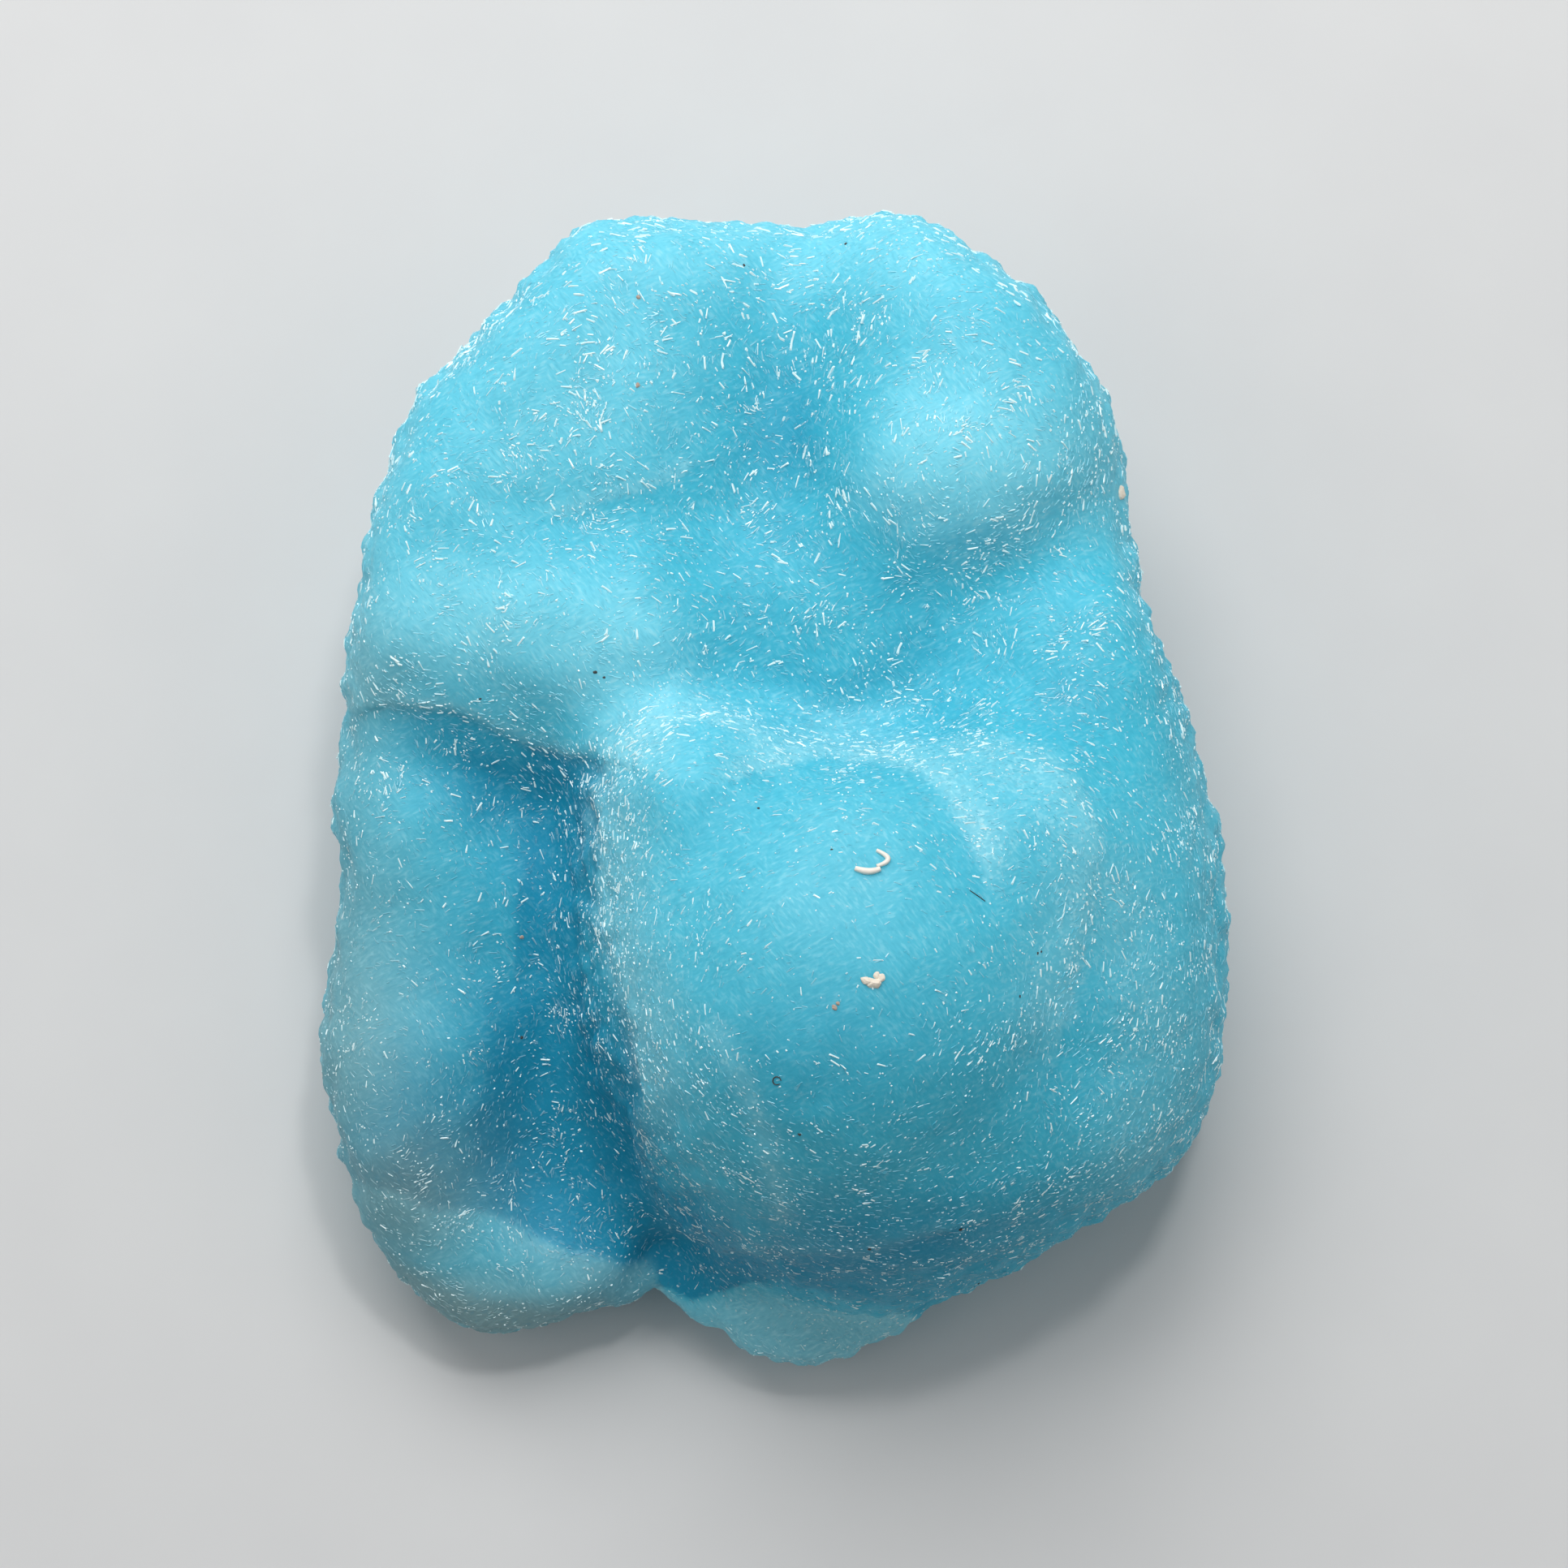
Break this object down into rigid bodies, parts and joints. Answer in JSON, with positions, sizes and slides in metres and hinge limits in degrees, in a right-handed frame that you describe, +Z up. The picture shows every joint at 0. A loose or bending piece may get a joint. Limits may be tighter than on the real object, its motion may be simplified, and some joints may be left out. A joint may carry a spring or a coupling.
{
  "type": "hemimorphite mineral specimen",
  "caption": "Rounded, lobed lump of sky-blue hemimorphite with a sugary crystal skin, lying on its back on a flat rest.",
  "frame": {"origin": "on the flat rest under the stone, below the middle of its display face", "axes": "+Z up, out of the display face as the stone lies on its back; +Y towards the narrow top of the display face; +X to a viewer's right"},
  "size_m": [0.0514, 0.0646, 0.0279],
  "materials": {
    "hemimorphite": "satin, fine-grained crystal crust with small glossy blades"
  },
  "bodies": {
    "root": {"hemimorphite": "hemimorphite"}
  },
  "joints": []
}
